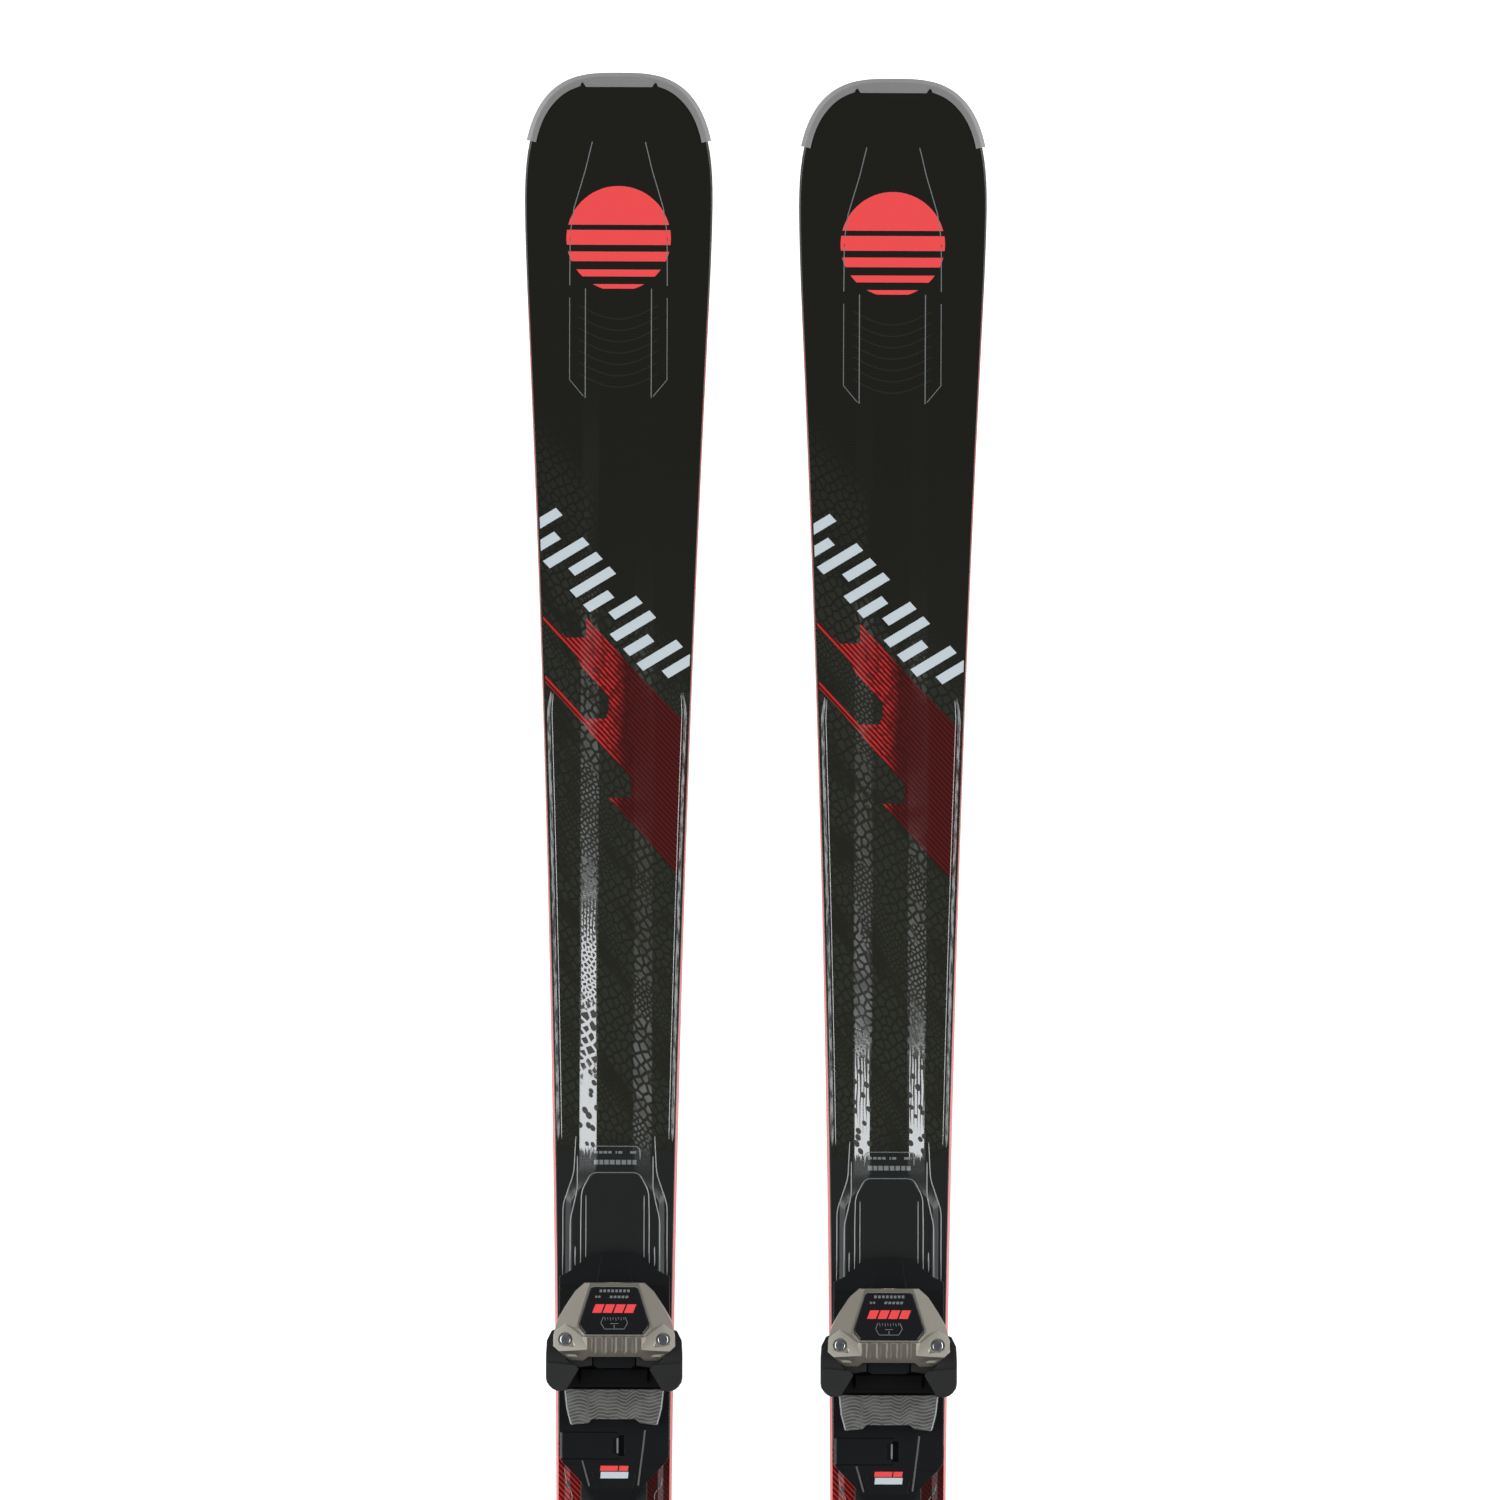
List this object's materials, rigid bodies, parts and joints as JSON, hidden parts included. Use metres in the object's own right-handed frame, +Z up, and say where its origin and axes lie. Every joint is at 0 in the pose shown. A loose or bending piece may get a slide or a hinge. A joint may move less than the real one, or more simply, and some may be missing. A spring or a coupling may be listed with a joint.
{
  "type": "pair of alpine skis with bindings",
  "caption": "Pair of shaped piste skis with coral sidewalls and dark patterned deck, carrying track bindings with swinging toe wings, release heel, lever and sprung brake.",
  "frame": {"origin": "on the ground under the middle of the pair's bounding box", "axes": "+Y from the tails towards the tips, +X to the right looking towards the tips, +Z up from the ground"},
  "size_m": [0.3052, 1.7542, 0.1811],
  "materials": {
    "running_base": "satin",
    "edge_steel": "polished",
    "sidewall": "satin",
    "topsheet": "satin",
    "guard": "satin",
    "track": "matte",
    "binding_plastic": "satin",
    "bronze_paint": "satin",
    "gloss_insert": "gloss",
    "wing_plastic": "satin",
    "bright_steel": "polished",
    "glide_plate": "satin",
    "spring_steel": "satin",
    "brake_wire": "satin"
  },
  "bodies": {
    "left_ski": {"left_running_base": "running_base", "left_steel_edge": "edge_steel", "left_core_sidewalls": "sidewall", "left_topsheet": "topsheet", "left_tip_guard": "guard", "left_tail_guard": "guard", "left_front_track": "track", "left_rear_track": "track"},
    "left_toe_piece": {"left_toe_base": "binding_plastic", "left_toe_housing": "bronze_paint", "left_toe_window": "gloss_insert", "left_wing_screw_l": "bright_steel", "left_wing_screw_r": "bright_steel", "left_toe_link": "bright_steel", "left_toe_spring": "spring_steel"},
    "left_wing_left": {"left_toe_wing_l": "wing_plastic"},
    "left_wing_right": {"left_toe_wing_r": "wing_plastic"},
    "left_glide": {"left_glide_plate": "glide_plate"},
    "left_front_latch": {"left_toe_latch": "binding_plastic"},
    "left_toe_adjuster": {"left_toe_release_screw": "bright_steel"},
    "left_heel_carriage": {"left_heel_base": "binding_plastic", "left_heel_axle": "bright_steel"},
    "left_heel_cup": {"left_heel_housing": "bronze_paint", "left_heel_spring": "spring_steel"},
    "left_opening_lever": {"left_heel_lever": "binding_plastic"},
    "left_heel_adjuster": {"left_heel_release_screw": "bright_steel"},
    "left_rear_latch": {"left_heel_latch": "binding_plastic"},
    "left_brake": {"left_brake_arm_l": "brake_wire", "left_brake_arm_r": "brake_wire"},
    "left_pedal": {"left_brake_pedal": "binding_plastic"},
    "right_ski": {"right_running_base": "running_base", "right_steel_edge": "edge_steel", "right_core_sidewalls": "sidewall", "right_topsheet": "topsheet", "right_tip_guard": "guard", "right_tail_guard": "guard", "right_front_track": "track", "right_rear_track": "track"},
    "right_toe_piece": {"right_toe_base": "binding_plastic", "right_toe_housing": "bronze_paint", "right_toe_window": "gloss_insert", "right_wing_screw_l": "bright_steel", "right_wing_screw_r": "bright_steel", "right_toe_link": "bright_steel", "right_toe_spring": "spring_steel"},
    "right_wing_left": {"right_toe_wing_l": "wing_plastic"},
    "right_wing_right": {"right_toe_wing_r": "wing_plastic"},
    "right_glide": {"right_glide_plate": "glide_plate"},
    "right_front_latch": {"right_toe_latch": "binding_plastic"},
    "right_toe_adjuster": {"right_toe_release_screw": "bright_steel"},
    "right_heel_carriage": {"right_heel_base": "binding_plastic", "right_heel_axle": "bright_steel"},
    "right_heel_cup": {"right_heel_housing": "bronze_paint", "right_heel_spring": "spring_steel"},
    "right_opening_lever": {"right_heel_lever": "binding_plastic"},
    "right_heel_adjuster": {"right_heel_release_screw": "bright_steel"},
    "right_rear_latch": {"right_heel_latch": "binding_plastic"},
    "right_brake": {"right_brake_arm_l": "brake_wire", "right_brake_arm_r": "brake_wire"},
    "right_pedal": {"right_brake_pedal": "binding_plastic"}
  },
  "joints": [
    {"name": "left_toe_adjust", "type": "slide", "parent": "left_ski", "child": "left_toe_piece", "axis": [0, 0.9986, -0.0525], "range_m": [-0.02, 0.012]},
    {"name": "left_wing_left_swing", "type": "hinge", "parent": "left_toe_piece", "child": "left_wing_left", "pos_m": [-0.1227, 0.04288, 0.08227], "axis": [0, -0.0525, -0.9986], "range_deg": [0, 30], "stiffness_Nm_per_rad": 6, "springref_deg": -17.19},
    {"name": "left_wing_right_swing", "type": "hinge", "parent": "left_toe_piece", "child": "left_wing_right", "pos_m": [-0.0583, 0.04288, 0.08227], "axis": [0, 0.0525, 0.9986], "range_deg": [0, 30], "stiffness_Nm_per_rad": 6, "springref_deg": -17.19},
    {"name": "left_glide_plate_slide", "type": "slide", "parent": "left_toe_piece", "child": "left_glide", "axis": [1, 0, 0], "range_m": [-0.008, 0.008], "stiffness_N_per_m": 400},
    {"name": "left_front_latch_lift", "type": "hinge", "parent": "left_toe_piece", "child": "left_front_latch", "pos_m": [-0.1243, -0.02912, 0.06522], "axis": [0, -0.9986, 0.0525], "range_deg": [0, 90]},
    {"name": "left_toe_release_turn", "type": "hinge", "parent": "left_toe_piece", "child": "left_toe_adjuster", "pos_m": [-0.0905, 0.07473, 0.07859], "axis": [0, 0.9986, -0.0525], "continuous": true},
    {"name": "left_heel_adjust", "type": "slide", "parent": "left_ski", "child": "left_heel_carriage", "axis": [0, 0.9986, -0.0525], "range_m": [-0.02, 0.02]},
    {"name": "left_heel_release", "type": "hinge", "parent": "left_heel_carriage", "child": "left_heel_cup", "pos_m": [-0.0905, -0.36793, 0.09683], "axis": [1, 0, 0], "range_deg": [0, 40]},
    {"name": "left_opening_lever_press", "type": "hinge", "parent": "left_heel_cup", "child": "left_opening_lever", "pos_m": [-0.0905, -0.35794, 0.13436], "axis": [1, 0, 0], "range_deg": [0, 15]},
    {"name": "left_heel_release_turn", "type": "hinge", "parent": "left_heel_cup", "child": "left_heel_adjuster", "pos_m": [-0.0905, -0.38191, 0.11659], "axis": [0, 0.9986, -0.0525], "continuous": true},
    {"name": "left_rear_latch_lift", "type": "hinge", "parent": "left_heel_carriage", "child": "left_rear_latch", "pos_m": [-0.0905, -0.40533, 0.08248], "axis": [-1, 0, 0], "range_deg": [0, 75]},
    {"name": "left_brake_swing", "type": "hinge", "parent": "left_heel_carriage", "child": "left_brake", "pos_m": [-0.0905, -0.22896, 0.07351], "axis": [-1, 0, 0], "range_deg": [0, 60], "stiffness_Nm_per_rad": 2, "springref_deg": -100.27},
    {"name": "left_pedal_swing", "type": "hinge", "parent": "left_brake", "child": "left_pedal", "pos_m": [-0.0905, -0.2231, 0.09885], "axis": [-1, 0, 0], "range_deg": [-36, 0]},
    {"name": "right_toe_adjust", "type": "slide", "parent": "right_ski", "child": "right_toe_piece", "axis": [0, 0.9986, -0.0525], "range_m": [-0.02, 0.012]},
    {"name": "right_wing_left_swing", "type": "hinge", "parent": "right_toe_piece", "child": "right_wing_left", "pos_m": [0.0583, 0.03958, 0.08227], "axis": [0, -0.0525, -0.9986], "range_deg": [0, 30], "stiffness_Nm_per_rad": 6, "springref_deg": -17.19},
    {"name": "right_wing_right_swing", "type": "hinge", "parent": "right_toe_piece", "child": "right_wing_right", "pos_m": [0.1227, 0.03958, 0.08227], "axis": [0, 0.0525, 0.9986], "range_deg": [0, 30], "stiffness_Nm_per_rad": 6, "springref_deg": -17.19},
    {"name": "right_glide_plate_slide", "type": "slide", "parent": "right_toe_piece", "child": "right_glide", "axis": [1, 0, 0], "range_m": [-0.008, 0.008], "stiffness_N_per_m": 400},
    {"name": "right_front_latch_lift", "type": "hinge", "parent": "right_toe_piece", "child": "right_front_latch", "pos_m": [0.0567, -0.03242, 0.06522], "axis": [0, -0.9986, 0.0525], "range_deg": [0, 90]},
    {"name": "right_toe_release_turn", "type": "hinge", "parent": "right_toe_piece", "child": "right_toe_adjuster", "pos_m": [0.0905, 0.07143, 0.07859], "axis": [0, 0.9986, -0.0525], "continuous": true},
    {"name": "right_heel_adjust", "type": "slide", "parent": "right_ski", "child": "right_heel_carriage", "axis": [0, 0.9986, -0.0525], "range_m": [-0.02, 0.02]},
    {"name": "right_heel_release", "type": "hinge", "parent": "right_heel_carriage", "child": "right_heel_cup", "pos_m": [0.0905, -0.37123, 0.09683], "axis": [1, 0, 0], "range_deg": [0, 40]},
    {"name": "right_opening_lever_press", "type": "hinge", "parent": "right_heel_cup", "child": "right_opening_lever", "pos_m": [0.0905, -0.36124, 0.13436], "axis": [1, 0, 0], "range_deg": [0, 15]},
    {"name": "right_heel_release_turn", "type": "hinge", "parent": "right_heel_cup", "child": "right_heel_adjuster", "pos_m": [0.0905, -0.38521, 0.11659], "axis": [0, 0.9986, -0.0525], "continuous": true},
    {"name": "right_rear_latch_lift", "type": "hinge", "parent": "right_heel_carriage", "child": "right_rear_latch", "pos_m": [0.0905, -0.40863, 0.08248], "axis": [-1, 0, 0], "range_deg": [0, 75]},
    {"name": "right_brake_swing", "type": "hinge", "parent": "right_heel_carriage", "child": "right_brake", "pos_m": [0.0905, -0.23226, 0.07351], "axis": [-1, 0, 0], "range_deg": [0, 60], "stiffness_Nm_per_rad": 2, "springref_deg": -100.27},
    {"name": "right_pedal_swing", "type": "hinge", "parent": "right_brake", "child": "right_pedal", "pos_m": [0.0905, -0.2264, 0.09885], "axis": [-1, 0, 0], "range_deg": [-36, 0]},
    {"name": "right_ski_glide", "type": "slide", "parent": "left_ski", "child": "right_ski", "axis": [0, 1, 0], "range_m": [-0.3, 0.3]}
  ],
  "couplings": [
    {"joint": "left_opening_lever_press", "follows": "left_heel_release", "ratio": 0.375},
    {"joint": "left_pedal_swing", "follows": "left_brake_swing", "ratio": -0.5833},
    {"joint": "right_opening_lever_press", "follows": "right_heel_release", "ratio": 0.375},
    {"joint": "right_pedal_swing", "follows": "right_brake_swing", "ratio": -0.5833}
  ]
}
